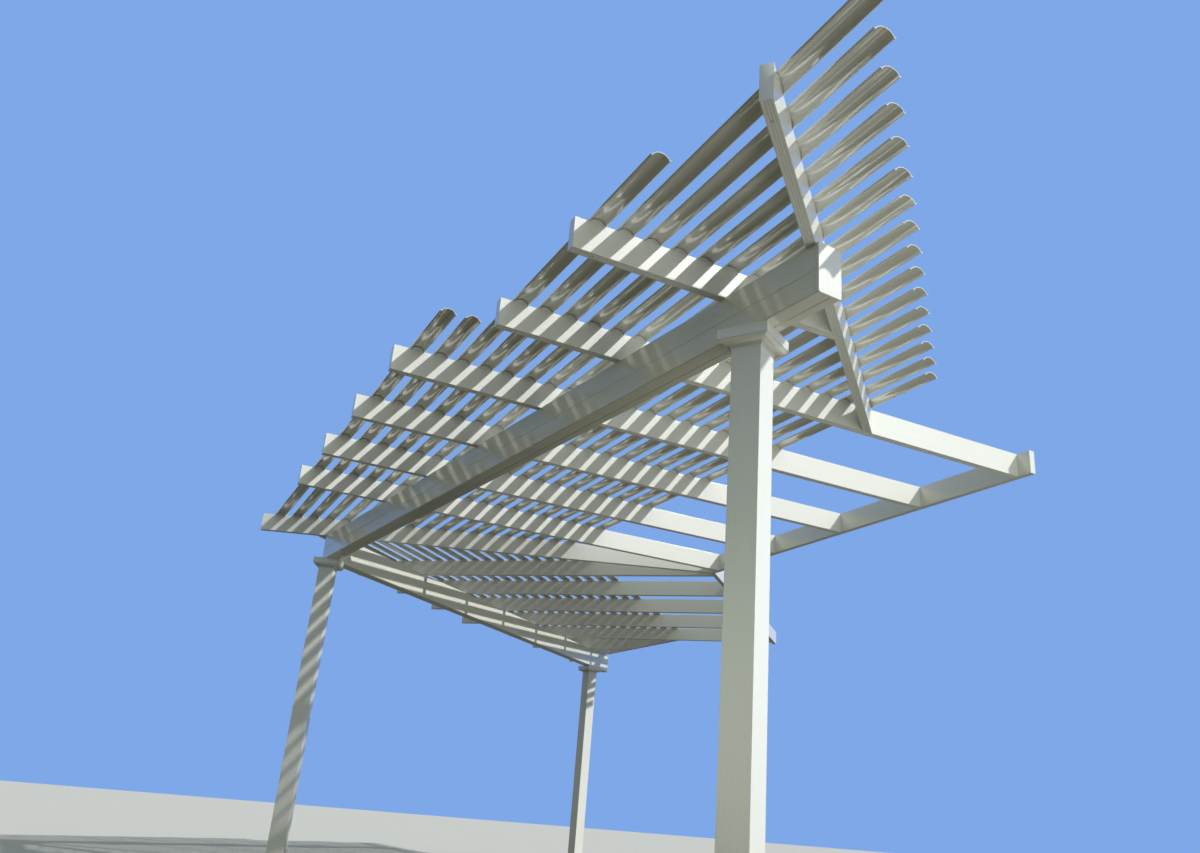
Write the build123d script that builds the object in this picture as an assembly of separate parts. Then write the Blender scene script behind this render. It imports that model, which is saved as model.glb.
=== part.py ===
"""Corner pergola with arched slats, wrapping the outside corner of a house.

Two wings meet on a hip rafter at 67.5 degrees. Wing A is modelled in its own plan frame,
+X along its slats away from the corner and +Y towards the wall, and wing B is its mirror
image in the upright plane through the hip. The origin is the foot of the corner post.
"""
from build123d import *
from math import cos, radians, sin, tan
import os

# Plan of one wing, from the foot of the corner post
hip_angle = 67.5            # hip rafter, from the slats of wing A
beam_angle = 5.1            # beam, from the slats it carries
beam_reach = 5970.0         # corner to the free end of the beam, along the beam
wall_offset = 3060.0        # corner post to the wall face, square to the slats
post_inset = 435.0          # outer post centre, back from the free end of the beam

# Heights
beam_bottom = 2440.0        # floor to the underside of the beams

# Posts and the trim round their feet
post_size = 127.0
post_corner_radius = 4.0
outer_post_turn = 31.0      # faces of the outer posts, from the slats they serve
skirt_thickness = 19.0
skirt_height = 70.0
skirt_bevel = 12.0

# Capitals, each a block with a crown moulding below it
capital_overhang = 45.5     # block beyond the faces of the post
capital_block_height = 44.0
crown_height = 36.0
crown_fillet = 4.0          # square steps at the top and the bottom of the moulding
cove_hollow = 5.0
bead_count = 2
bead_height = 6.5
bead_step = 4.5             # run of each bead towards the post
bead_bulge = 1.8

# Beams, each of two members side by side
beam_depth = 210.0
beam_front_width = 68.0
beam_back_width = 45.0
beam_edge_bevel = 5.0       # long edges of the underside
seam_height = 99.0          # groove along the beam's faces, above its underside
seam_depth = 2.0
seam_width = 4.0
beam_cap_thickness = 4.0
beam_cap_wall = 1.5         # rim of the cap, round the beam's sides and underside
beam_cap_rim = 9.0          # length of the rim along the beam

# Rafters
rafter_width = 44.5
rafter_depth = 140.0
rafter_count = 6
hip_to_rafter_gap = 66.0    # clear gap at the ledger between the hip and the nearest rafter
outer_rafter_inset = 572.0  # outermost rafter, back from the free end of the beam
long_overhang = 567.0       # outer ends of the rafters near the corner
short_overhang = 286.0      # outer ends of the rafters near the free end
short_rafters = 2
groove_count = 3            # lengthwise grooves in the underside
groove_width = 4.0
groove_depth = 1.5
groove_spacing = 10.0
rafter_cap_thickness = 3.0
rafter_cap_margin = 1.0
hip_overhang = 614.0        # outer end of the hip, from the corner post

# Slanted rafter over the free end of the beam
end_rafter_angle = 133.0
end_rafter_inset = 84.0     # where it crosses the beam, back from the beam's free end
end_rafter_overhang = 919.0  # its outer end, from that crossing

# Ledgers on the wall
ledger_thickness = 38.0
ledger_end_margin = 90.0    # beyond the last rafter that reaches the wall

# Arched slats
slat_width = 86.0           # over the two lips
slat_pitch = 128.0
slat_rise = 24.5            # rafter top to the crown of the arch
slat_gauge = 2.2
slat_foot = 2.0             # flat under each side of the arch
lip_run = 6.0               # lip beyond each foot, turned up
lip_rise = 4.0
slat_rows = 19
outer_row_inset = 123.0     # centre of the outermost row, in from the outer ends of the rafters
slat_tail = 530.0           # slat ends beyond the last rafter, on rows clear of the slanted rafter
end_slat_tail = 337.0       # slat ends beyond the slanted rafter, square to it
mitre_gap = 2.0             # between the two wings' slats, over the hip
rows_per_panel = 4

# Sizes that follow from those above
beam_width = beam_front_width + beam_back_width
beam_top = beam_bottom + beam_depth
rafter_top = beam_top + rafter_depth
ledger_face = wall_offset - ledger_thickness
block_bottom = beam_bottom - capital_block_height
beam_dir = Vector(cos(radians(beam_angle)), sin(radians(beam_angle)))
end_dir = Vector(cos(radians(end_rafter_angle)), sin(radians(end_rafter_angle)))
hip_dir = Vector(cos(radians(hip_angle)), sin(radians(hip_angle)))
wing_b_side = Vector(-hip_dir.Y, hip_dir.X)
hip_mirror = Plane(origin=(0, 0, 0), z_dir=wing_b_side)
end_rafter_start = beam_dir * (beam_reach - end_rafter_inset) - end_dir * end_rafter_overhang
rafter_near_hip = (
    ledger_face / tan(radians(hip_angle))
    + rafter_width / 2 / sin(radians(hip_angle))
    + hip_to_rafter_gap
    + rafter_width / 2
)
rafter_near_end = beam_reach * cos(radians(beam_angle)) - outer_rafter_inset
rafter_pitch = (rafter_near_end - rafter_near_hip) / (rafter_count - 1)
cutter_size = 4 * (beam_reach + wall_offset)


def save(solids, name):
    """Write one sub-part, of one or more solids, to its own file."""
    shape = solids[0] if len(solids) == 1 else Compound(children=solids)
    export_step(shape, os.path.join("parts", name + ".step"))


def single_solid(shape):
    """Return the one solid that a cut or join left."""
    found = shape.solids()
    if len(found) != 1:
        raise ValueError("expected one solid, found %d" % len(found))
    return found[0]


def to_wing_b(solids):
    """Mirror solids of wing A in the plane of the hip."""
    return [single_solid(mirror(solid, about=hip_mirror)) for solid in solids]


def at_height(point, height):
    """Lift a plan point to a height."""
    return Vector(point.X, point.Y, height)


def run_along(profile, start, angle, length):
    """Extrude a section, drawn across and up, from a point along a plan direction."""
    direction = Vector(cos(radians(angle)), sin(radians(angle)))
    across = Vector(-direction.Y, direction.X)
    plane = Plane(origin=start, x_dir=across, z_dir=direction)
    return single_solid(extrude(plane * profile, amount=length))


def half_space(point, normal):
    """Return a large block that fills the side of an upright plane its normal points to."""
    block = Box(cutter_size, cutter_size, cutter_size, align=(Align.CENTER, Align.CENTER, Align.MIN))
    return Plane(origin=point, z_dir=Vector(*normal).normalized()) * block


def trim(solid, point, normal):
    """Cut off what lies on the side of an upright plane that its normal points to."""
    return single_solid(solid - half_space(point, normal))


# Posts
def build_post(x, y, turn):
    """Square post from the floor to the underside of the beam."""
    section = RectangleRounded(post_size, post_size, post_corner_radius)
    return single_solid(Pos(x, y, 0) * Rot(0, 0, turn) * extrude(section, amount=beam_bottom))


def crown_outline():
    """Half section of the capital, from the post's face: block, fillet, cove, beads, fillet."""
    face = post_size / 2
    block_edge = face + capital_overhang
    cove_top = (block_edge - crown_fillet, block_bottom - crown_fillet)
    bead_bottom = block_bottom - crown_height + crown_fillet
    bead_foot = face + crown_fillet / 2
    bead_ends = [
        (bead_foot + index * bead_step, bead_bottom + index * bead_height)
        for index in range(bead_count, -1, -1)
    ]
    outline = Polyline(
        (face, beam_bottom),
        (block_edge, beam_bottom),
        (block_edge, block_bottom),
        (block_edge - crown_fillet, block_bottom),
        cove_top,
    )
    outline += SagittaArc(cove_top, bead_ends[0], cove_hollow)
    for upper, lower in zip(bead_ends, bead_ends[1:]):
        outline += SagittaArc(upper, lower, -bead_bulge)
    outline += Polyline(
        bead_ends[-1],
        (bead_foot, block_bottom - crown_height),
        (face, block_bottom - crown_height),
        (face, beam_bottom),
    )
    return make_face(Plane.XZ * outline)


def build_capital(x, y, turn):
    """Moulding of four mitred runs, round the head of a post."""
    run = extrude(crown_outline(), amount=post_size + capital_overhang, both=True)
    for side in (-1, 1):
        run = trim(run, (0, 0, block_bottom), (-1, side, 0))
    ring = run
    for quarter in range(1, 4):
        ring += Rot(0, 0, quarter * 90) * run
    return single_solid(Pos(x, y, 0) * Rot(0, 0, turn) * ring)


def build_skirt(x, y, turn):
    """Bevelled square trim round the foot of a post."""
    size = post_size + 2 * skirt_thickness
    skirt = extrude(Rectangle(size, size), amount=skirt_height)
    skirt = chamfer(skirt.edges().group_by(Axis.Z)[-1], skirt_bevel)
    skirt -= extrude(Rectangle(post_size, post_size), amount=skirt_height)
    return single_solid(Pos(x, y, 0) * Rot(0, 0, turn) * skirt)


# Beams
def beam_member_section(joint, face):
    """Section of a beam member, from the joint between the members to its exposed face.

    The underside's long edges are bevelled, and the exposed face carries the seam.
    """
    outward = 1 if face > joint else -1
    return make_face(Polyline(
        (joint, beam_depth),
        (joint, beam_edge_bevel),
        (joint + outward * beam_edge_bevel, 0),
        (face - outward * beam_edge_bevel, 0),
        (face, beam_edge_bevel),
        (face, seam_height - seam_width / 2),
        (face - outward * seam_depth, seam_height),
        (face, seam_height + seam_width / 2),
        (face, beam_depth),
        (joint, beam_depth),
    ))


def build_beam_members():
    """Front and back member of the beam, mitred at the corner."""
    start = at_height(beam_dir * -beam_width, beam_bottom)
    joint = beam_front_width - beam_width / 2
    members = []
    for face in (-beam_width / 2, beam_width / 2):
        section = beam_member_section(joint, face)
        member = run_along(section, start, beam_angle, beam_reach + beam_width)
        members.append(trim(member, (0, 0, beam_bottom), wing_b_side))
    return members


def beam_cap_outline(wall):
    """Outline round the beam's sides and bevelled underside, at the thickness of a wall."""
    half = beam_width / 2 + wall
    return make_face(Polyline(
        (-half, beam_depth),
        (-half, beam_edge_bevel - wall),
        (-half + beam_edge_bevel, -wall),
        (half - beam_edge_bevel, -wall),
        (half, beam_edge_bevel - wall),
        (half, beam_depth),
        (-half, beam_depth),
    ))


def build_beam_cap():
    """Cap on the free end of the beam, with a rim round its sides and underside."""
    start = at_height(beam_dir * (beam_reach - beam_cap_rim), beam_bottom)
    cap = run_along(beam_cap_outline(beam_cap_wall), start, beam_angle, beam_cap_rim + beam_cap_thickness)
    return single_solid(cap - run_along(beam_cap_outline(0), start, beam_angle, beam_cap_rim))


# Rafters
def rafter_section():
    """Deep narrow section with grooves along its underside."""
    section = Pos(0, rafter_depth / 2) * Rectangle(rafter_width, rafter_depth)
    for index in range(groove_count):
        offset = (index - (groove_count - 1) / 2) * groove_spacing
        section -= Pos(offset, 0) * Rectangle(groove_width, 2 * groove_depth)
    return section


def rafter_x(index):
    """Centre line of a rafter, counted from the hip."""
    return rafter_near_hip + index * rafter_pitch


def rafter_y(index):
    """Outer end of a rafter."""
    return -short_overhang if index >= rafter_count - short_rafters else -long_overhang


def build_rafter(index):
    """Rafter from its outer end to the ledger, or to the slanted rafter."""
    start = Vector(rafter_x(index), rafter_y(index), beam_top)
    rafter = run_along(rafter_section(), start, 90, ledger_face - start.Y)
    if index == rafter_count - 1:
        beyond = Vector(end_dir.Y, -end_dir.X)
        rafter = trim(rafter, at_height(end_rafter_start - beyond * rafter_width / 2, beam_top), beyond)
    return rafter


def build_end_rafter():
    """Slanted rafter from over the beam's free end to the side of the last long rafter."""
    landing = rafter_x(rafter_count - 2) + rafter_width / 2
    length = (end_rafter_start.X - landing) / -end_dir.X + rafter_depth
    rafter = run_along(rafter_section(), at_height(end_rafter_start, beam_top), end_rafter_angle, length)
    return trim(rafter, (landing, 0, beam_top), (-1, 0, 0))


def build_hip():
    """Hip rafter, notched over the corner of the ledgers."""
    start = at_height(hip_dir * -hip_overhang, beam_top)
    corner_run = ledger_face / sin(radians(hip_angle))
    hip = run_along(rafter_section(), start, hip_angle, hip_overhang + corner_run + rafter_width)
    behind_a = half_space((0, ledger_face, beam_top), (0, 1, 0))
    behind_b = mirror(behind_a, about=hip_mirror)
    return single_solid(hip - (behind_a & behind_b))


def build_rafter_cap(end, angle):
    """Flat cap that closes the outer end of a rafter, flush with its top."""
    direction = Vector(cos(radians(angle)), sin(radians(angle)))
    width = rafter_width + 2 * rafter_cap_margin
    height = rafter_depth + rafter_cap_margin
    plate = Pos(0, rafter_depth - height / 2) * RectangleRounded(width, height, 2 * rafter_cap_margin)
    start = at_height(end - direction * rafter_cap_thickness, beam_top)
    return run_along(plate, start, angle, rafter_cap_thickness)


# Ledgers
def build_ledger():
    """Board along the wall, mitred at the corner of the house."""
    length = rafter_x(rafter_count - 2) + rafter_width / 2 + ledger_end_margin
    board = Pos(0, ledger_face, beam_top) * Box(
        length, ledger_thickness, rafter_depth, align=(Align.MIN, Align.MIN, Align.MIN)
    )
    return trim(board, (0, 0, beam_top), wing_b_side)


# Slats
def slat_section():
    """Thin arch on two narrow feet, with a lip turned up beyond each foot."""
    edge = slat_width / 2
    foot_outer = edge - lip_run
    foot_inner = foot_outer - slat_foot
    underside = ThreePointArc((-foot_inner, 0), (0, slat_rise - slat_gauge), (foot_inner, 0))
    right_lip = Polyline(
        (foot_inner, 0),
        (foot_outer, 0),
        (edge, lip_rise),
        (edge, lip_rise + slat_gauge),
        (foot_outer, slat_gauge),
    )
    top = ThreePointArc((foot_outer, slat_gauge), (0, slat_rise), (-foot_outer, slat_gauge))
    left_lip = Polyline(
        (-foot_outer, slat_gauge),
        (-edge, lip_rise + slat_gauge),
        (-edge, lip_rise),
        (-foot_outer, 0),
        (-foot_inner, 0),
    )
    return make_face(underside + right_lip + top + left_lip)


def row_y(row):
    """Centre line of a row, counted from the outer ends of the rafters."""
    return -long_overhang + outer_row_inset + row * slat_pitch


def slat_end(row):
    """Free end of a row, beyond the last rafter that carries it."""
    y = row_y(row)
    if y < rafter_y(rafter_count - 1):
        return rafter_x(rafter_count - short_rafters - 1) + slat_tail
    if y < end_rafter_start.Y:
        return rafter_x(rafter_count - 1) + slat_tail
    carried_at = end_rafter_start.X + (y - end_rafter_start.Y) * end_dir.X / end_dir.Y
    return carried_at + (rafter_width / 2 + end_slat_tail) / end_dir.Y


def build_slat(row):
    """One slat, from its mitre over the hip to its free end."""
    y = row_y(row)
    start = y / tan(radians(hip_angle)) - slat_width
    slat = run_along(slat_section(), Vector(start, y, rafter_top), 0, slat_end(row) - start)
    return trim(slat, at_height(wing_b_side * (-mitre_gap / 2), rafter_top), wing_b_side)


def main():
    """Build every sub-part and write it to its own file."""
    os.makedirs("parts", exist_ok=True)

    outer_post = beam_dir * (beam_reach - post_inset)
    for part, build in (("post", build_post), ("capital", build_capital), ("foot_skirt", build_skirt)):
        near = build(outer_post.X, outer_post.Y, outer_post_turn)
        save([near], part + "_near")
        save([build(0, 0, hip_angle)], part + "_corner")
        save(to_wing_b([near]), part + "_far")

    for name, member in zip(("front", "back"), build_beam_members()):
        save([member], "beam_a_" + name)
        save(to_wing_b([member]), "beam_b_" + name)

    caps = [build_rafter_cap(end_rafter_start, end_rafter_angle)]
    wing = {"end_rafter": [build_end_rafter()]}
    for index in range(rafter_count):
        rafter = [build_rafter(index)]
        save(rafter, "rafter_a_%d" % (index + 1))
        save(to_wing_b(rafter), "rafter_b_%d" % (index + 1))
        caps.append(build_rafter_cap(Vector(rafter_x(index), rafter_y(index)), 90))
    wing["rafter_caps"] = caps
    wing["beam_cap"] = [build_beam_cap()]
    wing["ledger"] = [build_ledger()]
    for name, solids in wing.items():
        save(solids, name + "_a")
        save(to_wing_b(solids), name + "_b")

    save([build_hip()], "hip_rafter")
    save([build_rafter_cap(hip_dir * -hip_overhang, hip_angle)], "hip_cap")

    slats = [build_slat(row) for row in range(slat_rows)]
    for panel, first in enumerate(range(0, slat_rows, rows_per_panel)):
        rows = slats[first:first + rows_per_panel]
        save(rows, "slats_a_%d" % (panel + 1))
        save(to_wing_b(rows), "slats_b_%d" % (panel + 1))


main()
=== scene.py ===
"""Looks of a corner pergola of white extruded vinyl, whose two wings meet on a hip rafter.

Lengths are in metres and angles in degrees. Wing A runs along +X from the corner post, with its
wall across +Y. Wing B is wing A mirrored in the upright plane through the hip.
"""
from __future__ import annotations

import logging
import math
import random
from collections.abc import Callable, Sequence
from dataclasses import dataclass, field
from enum import Enum
from itertools import accumulate, pairwise

import bmesh
import bpy
from mathutils import Matrix, Vector, noise


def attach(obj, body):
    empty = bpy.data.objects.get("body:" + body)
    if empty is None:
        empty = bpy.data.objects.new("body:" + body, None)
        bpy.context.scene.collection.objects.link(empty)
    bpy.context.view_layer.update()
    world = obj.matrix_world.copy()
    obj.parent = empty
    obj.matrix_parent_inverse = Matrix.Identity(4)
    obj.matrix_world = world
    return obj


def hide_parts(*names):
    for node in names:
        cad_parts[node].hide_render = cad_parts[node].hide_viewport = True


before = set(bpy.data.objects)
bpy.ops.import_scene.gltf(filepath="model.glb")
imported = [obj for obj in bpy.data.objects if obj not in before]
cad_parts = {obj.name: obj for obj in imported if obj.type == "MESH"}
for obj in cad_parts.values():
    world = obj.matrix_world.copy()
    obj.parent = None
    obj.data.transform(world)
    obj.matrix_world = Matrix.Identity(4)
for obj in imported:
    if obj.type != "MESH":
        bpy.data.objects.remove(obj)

LOG = logging.getLogger("corner_pergola")
STRIP_MAP = "Strip"             # UV map: along the extrusion, then round its section
CREVICE = "Crevice"             # attribute: 1 at inner corners, which the finishes darken: painted shade on the vinyl
SAWN = "Sawn"                   # attribute: 1 on the faces that close the ends of a run
CREVICE_TURN = 15.0             # inner edges that turn more than this count as corners
SHARP_TURN = 20.0               # edges that turn more than this are drawn sharp
EDGE_SHARE = 0.45               # most of an edge that a rounded corner may take
AXIS_PLAY = 1e-9                # how near its axis a section's point counts as on it
UP = Vector((0.0, 0.0, 1.0))

Point = tuple[float, float]
Triple = tuple[float, float, float]
Color = Triple


class Wing(Enum):
    """The two wings, named as their nodes are."""

    A = "a"
    B = "b"


def plan_direction(angle: float) -> Vector:
    """Level unit vector at an angle from +X."""
    return Vector((math.cos(math.radians(angle)), math.sin(math.radians(angle)), 0.0))


def at_height(point: Vector, height: float) -> Vector:
    """Move a point to a height."""
    return Vector((point.x, point.y, height))


def standing(section: Sequence[Point], origin: Vector, across: Vector) -> list[Vector]:
    """Points of a section that stands upright at its origin."""
    return [origin + across * left + UP * up for left, up in section]


def into_scene(thing: bpy.types.Object) -> None:
    """Link an object to the scene."""
    bpy.context.scene.collection.objects.link(thing)


# Sections

def rounded(
    points: Sequence[Point],
    radius: float,
    closed: bool = True,
    least_turn: float = 60.0,
    steps: int = 5,
) -> list[Point]:
    """Round the corners of an outline.

    Args:
        points: Corners in order.
        radius: Radius, which short edges reduce.
        closed: Whether the last corner joins the first.
        least_turn: Corners that turn less than this stay as they are.
        steps: Straight pieces in each rounded corner.

    Returns:
        The outline with each such corner replaced by a small curve.
    """
    result: list[Point] = []
    for index, place in enumerate(points):
        corner = Vector(place)
        arriving = corner - Vector(points[index - 1])
        leaving = Vector(points[(index + 1) % len(points)]) - corner
        is_end = not closed and index in (0, len(points) - 1)
        if is_end or arriving.angle(leaving, 0.0) < math.radians(least_turn):
            result.append(place)
            continue
        setback = radius * math.tan(arriving.angle(leaving) / 2)
        setback = min(setback, EDGE_SHARE * arriving.length, EDGE_SHARE * leaving.length)
        first = corner - arriving.normalized() * setback
        last = corner + leaving.normalized() * setback
        for step in range(steps + 1):
            share = step / steps
            bent = first * (1 - share) ** 2 + corner * 2 * share * (1 - share) + last * share ** 2
            result.append((bent.x, bent.y))
    return result


def arc_radius(half: float, bulge: float) -> float:
    """Radius of an arc over a chord of twice the half."""
    return (half ** 2 + bulge ** 2) / (2 * abs(bulge))


def arc_points(first: Point, last: Point, bulge: float, steps: int) -> list[Point]:
    """Points of an arc between two points.

    Args:
        first: Start of the arc.
        last: End of the arc.
        bulge: Height over its chord, to the right of the way when positive.
        steps: Straight pieces in the arc.

    Returns:
        The points, both ends included.
    """
    start, end = Vector(first), Vector(last)
    half = (end - start).length / 2
    radius = arc_radius(half, bulge)
    opening = 2 * math.atan2(abs(bulge), half)
    way = (end - start).normalized()
    side = Vector((way.y, -way.x)) * math.copysign(1.0, bulge)
    centre = (start + end) / 2 - side * (radius - abs(bulge))
    points = []
    for step in range(steps + 1):
        angle = opening * (2 * step / steps - 1)
        spot = centre + way * radius * math.sin(angle) + side * radius * math.cos(angle)
        points.append((spot.x, spot.y))
    return points


@dataclass(frozen=True)
class Reeding:
    """Shallow rounded reeds along the faces of the extrusions, with a sunk line between them."""

    pitch: float = 0.0076
    swell: float = 0.0002
    line_width: float = 0.0012
    line_depth: float = 0.00022
    line_floor: float = 0.3         # share of the line's width that its floor takes
    plain_band: float = 0.0045
    steps: int = 4

    def face(self, foot: Point, head: Point) -> list[Point]:
        """Outline of a reeded face.

        Args:
            foot: Where the face starts; its outside is on the right of the way.
            head: Where it ends.

        Returns:
            The points from foot to head, both included, no further out than the flat face.
        """
        start, end = Vector(foot), Vector(head)
        way = (end - start).normalized()
        outward = Vector((way.y, -way.x))
        span = (end - start).length - 2 * self.plain_band
        count = round(span / self.pitch)
        crest = span / count - self.line_width
        inner = self.line_floor / 2
        profile = ((-0.5, 0.0), (-inner, self.line_depth), (inner, self.line_depth), (0.5, 0.0))
        spots = [start]
        for reed in range(count + 1):
            line = self.plain_band + span * reed / count
            for offset, depth in profile:
                sunk = 0.0 if (reed, offset) in ((0, -0.5), (count, 0.5)) else self.swell
                along = line + offset * self.line_width
                spots.append(start + way * along - outward * (depth + sunk))
            for step in range(1, self.steps) if reed < count else ():
                share = step / self.steps
                along = line + self.line_width / 2 + crest * share
                spots.append(start + way * along - outward * self.swell * (2 * share - 1) ** 2)
        spots.append(end)
        return [(spot.x, spot.y) for spot in spots]


# Meshes

@dataclass(frozen=True)
class EndPlane:
    """Upright plane at which an extrusion ends."""

    point: Vector
    normal: Vector

    def reach(self, origin: Vector, direction: Vector) -> float:
        """Distance from a point, along a direction, to the plane."""
        return (self.point - origin).dot(self.normal) / direction.dot(self.normal)


@dataclass
class Draft:
    """Vertices, faces, strip coordinates and sawn ends of a piece that isn't an object yet."""

    vertices: list[Vector] = field(default_factory=list)
    faces: list[tuple[int, ...]] = field(default_factory=list)
    strip: list[list[Point]] = field(default_factory=list)
    sawn: list[float] = field(default_factory=list)

    def add_loft(
        self,
        rings: Sequence[Sequence[Vector]],
        ring_shaped: bool = False,
        end_faces: Sequence[Sequence[int]] | None = None,
    ) -> Draft:
        """Add a closed solid through rings of points.

        Args:
            rings: Rings of equally many points, in order.
            ring_shaped: Whether the last ring joins the first, which leaves no ends. The strip
                coordinate then runs round the rings.
            end_faces: Corners of the faces that close the last ring, when one isn't enough.

        Returns:
            The draft itself.
        """
        count = len(rings[0])
        edges = (after - before for before, after in pairwise([*rings[0], rings[0][0]]))
        girth = list(accumulate((edge.length for edge in edges), initial=0.0))
        travel = [0.0] * count
        faces: list[Sequence[int]] = []
        strip: list[list[Point]] = []
        joined = [*rings, rings[0]] if ring_shaped else rings
        for number, (ring, following) in enumerate(pairwise(joined)):
            ahead = [far + (b - a).length for far, a, b in zip(travel, ring, following)]
            this, after = number * count, (number + 1) % len(rings) * count
            for index in range(count):
                turned = (index + 1) % count
                faces.append((this + index, this + turned, after + turned, after + index))
                spots = [
                    (travel[index], girth[index]),
                    (travel[turned], girth[index + 1]),
                    (ahead[turned], girth[index + 1]),
                    (ahead[index], girth[index]),
                ]
                strip.append([(y, x) for x, y in spots] if ring_shaped else spots)
            travel = ahead
        sides = len(faces)
        if not ring_shaped:
            last = (len(rings) - 1) * count
            faces.append(range(count - 1, -1, -1))
            faces += [[last + spot for spot in face] for face in end_faces or [range(count)]]
            strip += [[(girth[spot % count], 0.0) for spot in face] for face in faces[sides:]]
        # Faces that point inwards close a negative volume, measured from the first point.
        arms = [point - rings[0][0] for ring in rings for point in ring]
        corners = ((face[0], b, c) for face in faces for b, c in pairwise(face[1:]))
        if sum(arms[a].dot(arms[b].cross(arms[c])) for a, b, c in corners) < 0:
            faces = [face[::-1] for face in faces]
            strip = [spots[::-1] for spots in strip]
        base = len(self.vertices)
        self.vertices += [point for ring in rings for point in ring]
        self.faces += [tuple(base + spot for spot in face) for face in faces]
        self.strip += strip
        self.sawn += [float(index >= sides) for index in range(len(faces))]
        return self

    def add_run(
        self,
        section: Sequence[Point],
        start: Vector,
        angle: float,
        near: float | EndPlane,
        far: float | Sequence[EndPlane],
        split: tuple[int, int] | None = None,
    ) -> Draft:
        """Add a level extrusion.

        Args:
            section: Counter-clockwise outline, to the left of the way and up.
            start: Place of the section's origin.
            angle: Plan angle of the way.
            near: Where it starts, as a distance from the start or a plane.
            far: Where it ends, as a distance or the planes of which the farther one counts.
            split: Two points of the section at which the far end folds.

        Returns:
            The draft itself.
        """
        way = plan_direction(angle)
        rings: list[list[Vector]] = [[], []]
        for origin in standing(section, start, UP.cross(way)):
            begin = near.reach(origin, way) if isinstance(near, EndPlane) else near
            end = far if isinstance(far, float) else max(stop.reach(origin, way) for stop in far)
            rings[0].append(origin + way * begin)
            rings[1].append(origin + way * end)
        end_faces = None
        if split:
            low, high = sorted(split)
            end_faces = [range(low, high + 1), [*range(high, len(section)), *range(low + 1)]]
        return self.add_loft(rings, end_faces=end_faces)

    def add_steps(
        self,
        start: Vector,
        angle: float,
        steps: Sequence[Point],
        outline: Callable[[float], Sequence[Point]],
    ) -> Draft:
        """Add a level solid whose section changes on its way.

        Args:
            start: Place of the section's origin.
            angle: Plan angle of the way.
            steps: Distance along the way and what the section is made from, for each ring.
            outline: Makes the section.

        Returns:
            The draft itself.
        """
        way = plan_direction(angle)
        across = UP.cross(way)
        return self.add_loft([
            standing(outline(size), start + way * along, across) for along, size in steps
        ])

    def add_turned(
        self, place: Vector, outward: Vector, profile: Sequence[Triple], radius: float, sides: int,
    ) -> Draft:
        """Add a small turned solid.

        Args:
            place: Where its axis meets the surface.
            outward: Direction of its axis.
            profile: Share of the radius, height, and depth of a cross recess, for each ring.
            radius: Its radius.
            sides: Corners of each ring.

        Returns:
            The draft itself.
        """
        turn = outward.to_track_quat("Z", "Y").to_matrix()
        rings = []
        for share, height, recess in profile:
            ring = []
            for side in range(sides):
                angle = 2 * math.pi * side / sides
                sunk = recess if side % (sides // 4) == 0 else 0.0
                spot = Vector((math.cos(angle), math.sin(angle), 0.0)) * share * radius
                ring.append(place + turn @ (spot + UP * (height - sunk)))
            rings.append(ring)
        return self.add_loft(rings)

    def mirrored(self, normal: Vector) -> Draft:
        """The draft, mirrored in the upright plane through the origin with this normal."""
        return Draft(
            [point - normal * (2 * point.dot(normal)) for point in self.vertices],
            [face[::-1] for face in self.faces],
            [spots[::-1] for spots in self.strip],
            self.sawn,
        )

    @staticmethod
    def crevices(mesh: bpy.types.Mesh) -> list[float]:
        """Find the inner corners of a mesh.

        Args:
            mesh: Mesh of closed shells whose faces point outwards.

        Returns:
            1 for each vertex of an edge that turns inwards, and 0 for the others.
        """
        found = [0.0] * len(mesh.vertices)
        shape = bmesh.new()
        shape.from_mesh(mesh)
        for edge in shape.edges:
            if edge.calc_face_angle_signed(0.0) < -math.radians(CREVICE_TURN):
                for vertex in edge.verts:
                    found[vertex.index] = 1.0
        shape.free()
        return found

    def to_object(self, name: str) -> bpy.types.Object:
        """Make the object.

        Args:
            name: Name of the piece and its mesh.

        Returns:
            The new object, linked to the scene.
        """
        mesh = bpy.data.meshes.new(name)
        mesh.from_pydata(self.vertices, [], self.faces)
        values = [value for spots in self.strip for spot in spots for value in spot]
        mesh.uv_layers.new(name=STRIP_MAP).uv.foreach_set("vector", values)
        mesh.shade_smooth()
        mesh.set_sharp_from_angle(angle=math.radians(SHARP_TURN))
        corners = mesh.attributes.new(CREVICE, "FLOAT", "POINT")
        corners.data.foreach_set("value", self.crevices(mesh))
        mesh.attributes.new(SAWN, "FLOAT", "FACE").data.foreach_set("value", self.sawn)
        piece = bpy.data.objects.new(name, mesh)
        into_scene(piece)
        return piece


# Shaders

@dataclass(frozen=True)
class Value:
    """Output socket of a shader node, on which arithmetic adds Math nodes."""

    graph: Graph
    socket: bpy.types.NodeSocket

    def combine(self, operation: str, first: Value | float, second: Value | float) -> Value:
        """Add one Math node."""
        return self.graph.add("ShaderNodeMath", {"operation": operation}, {0: first, 1: second})

    def __add__(self, other: Value | float) -> Value:
        """Sum."""
        return self.combine("ADD", self, other)

    def __sub__(self, other: Value | float) -> Value:
        """Difference."""
        return self.combine("SUBTRACT", self, other)

    def __rsub__(self, other: float) -> Value:
        """Difference from a number."""
        return self.combine("SUBTRACT", other, self)

    def __mul__(self, other: Value | float) -> Value:
        """Product."""
        return self.combine("MULTIPLY", self, other)

    __radd__ = __add__
    __rmul__ = __mul__

    def above(self, least: float) -> Value:
        """The value, squeezed between a least share and 1."""
        return least + (1.0 - least) * self


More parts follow.
